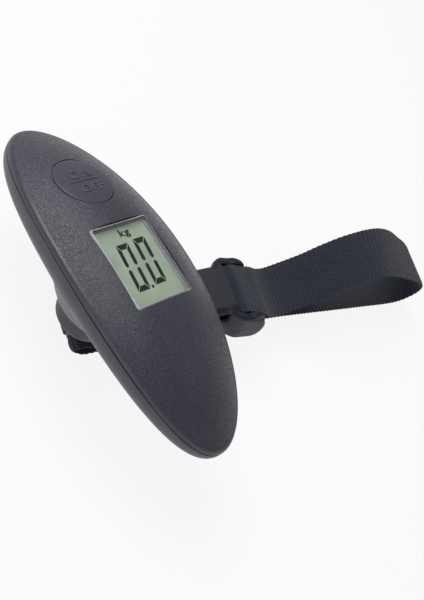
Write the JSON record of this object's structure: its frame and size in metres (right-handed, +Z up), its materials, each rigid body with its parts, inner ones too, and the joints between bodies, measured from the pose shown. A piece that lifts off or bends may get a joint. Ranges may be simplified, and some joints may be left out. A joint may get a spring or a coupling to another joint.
{
  "type": "digital luggage scale",
  "caption": "Arched hand-held luggage scale with a display and push button, a swivelling stem below and a webbing loop closed by a side-squeeze buckle.",
  "frame": {"origin": "the load point: the middle of the cross pin under the stem, on the axis that the load pulls along", "axes": "+X along the grip from the button towards the battery, +Y away from the user towards the strap as it lies, +Z up out of the display"},
  "size_m": [0.1265, 0.2021, 0.0513],
  "materials": {
    "cover_plastic": "fine grained satin",
    "shell_plastic": "fine grained satin",
    "lens": "clear polished",
    "lcd": "grey green reflective",
    "frame_plastic": "plain",
    "elastomer": "plain",
    "board": "solder mask",
    "chip_resin": "cast resin",
    "screw_steel": "zinc plated",
    "switch_plastic": "plain",
    "plunger_plastic": "plain",
    "button_plastic": "satin",
    "cell_steel": "nickel plated",
    "holder_plastic": "plain",
    "contact_metal": "nickel plated",
    "beam_aluminium": "milled",
    "gauge_film": "foil on film",
    "stem_metal": "satin grey",
    "buckle_plastic": "moulded satin",
    "webbing": "ribbed woven"
  },
  "bodies": {
    "grip": {"top_cover": "cover_plastic", "bottom_cover": "shell_plastic", "display_lens": "lens", "lcd_panel": "lcd", "lcd_frame": "frame_plastic", "elastomer_strips": "elastomer", "circuit_board": "board", "chip_cover": "chip_resin", "board_screws": "screw_steel", "tact_switch": "switch_plastic", "coin_cell": "cell_steel", "battery_holder": "holder_plastic", "battery_contact_plus": "contact_metal", "battery_contact_minus": "contact_metal", "load_beam": "beam_aluminium", "strain_gauges": "gauge_film", "beam_screws": "screw_steel", "cover_screws": "screw_steel", "thrust_washer": "screw_steel"},
    "button": {"button_cap": "button_plastic", "switch_plunger": "plunger_plastic"},
    "door": {"battery_door": "shell_plastic"},
    "swivel": {"load_bolt": "screw_steel", "stem": "stem_metal", "cross_pin": "screw_steel"},
    "tongue": {"buckle_tongue": "buckle_plastic", "strap": "webbing"},
    "arm_left": {"latch_arm_left": "buckle_plastic"},
    "arm_right": {"latch_arm_right": "buckle_plastic"},
    "socket": {"buckle_socket": "buckle_plastic"}
  },
  "joints": [
    {"name": "button_press", "type": "slide", "parent": "grip", "child": "button", "axis": [0, 0, -1], "range_m": [0, 0.0006], "stiffness_N_per_m": 3000, "springref_m": -0.0002},
    {"name": "battery_door_twist", "type": "hinge", "parent": "grip", "child": "door", "pos_m": [0.038, 0, 0.025], "axis": [0, 0, 1], "range_deg": [0, 40]},
    {"name": "stem_swivel", "type": "hinge", "parent": "grip", "child": "swivel", "pos_m": [0, 0, 0.02], "axis": [0, 0, 1], "range_deg": [-45, 45]},
    {"name": "buckle_swing", "type": "hinge", "parent": "swivel", "child": "tongue", "pos_m": [0, 0, 0], "axis": [-0.9659, 0.2588, 0], "range_deg": [-5, 180]},
    {"name": "buckle_release", "type": "slide", "parent": "tongue", "child": "socket", "axis": [0.2454, 0.916, 0.3173], "range_m": [0, 0.024], "deforming": ["strap"]},
    {"name": "latch_left_squeeze", "type": "hinge", "parent": "tongue", "child": "arm_left", "pos_m": [0.0019, 0.03105, 0.0102], "axis": [0.0821, 0.3065, -0.9483], "range_deg": [0, 6]},
    {"name": "latch_right_squeeze", "type": "hinge", "parent": "tongue", "child": "arm_right", "pos_m": [0.01388, 0.02785, 0.0102], "axis": [-0.0821, -0.3065, 0.9483], "range_deg": [0, 6]}
  ],
  "couplings": [
    {"joint": "latch_left_squeeze", "follows": "buckle_release", "rad_per_m": 4.2},
    {"joint": "latch_right_squeeze", "follows": "buckle_release", "rad_per_m": 4.2}
  ]
}
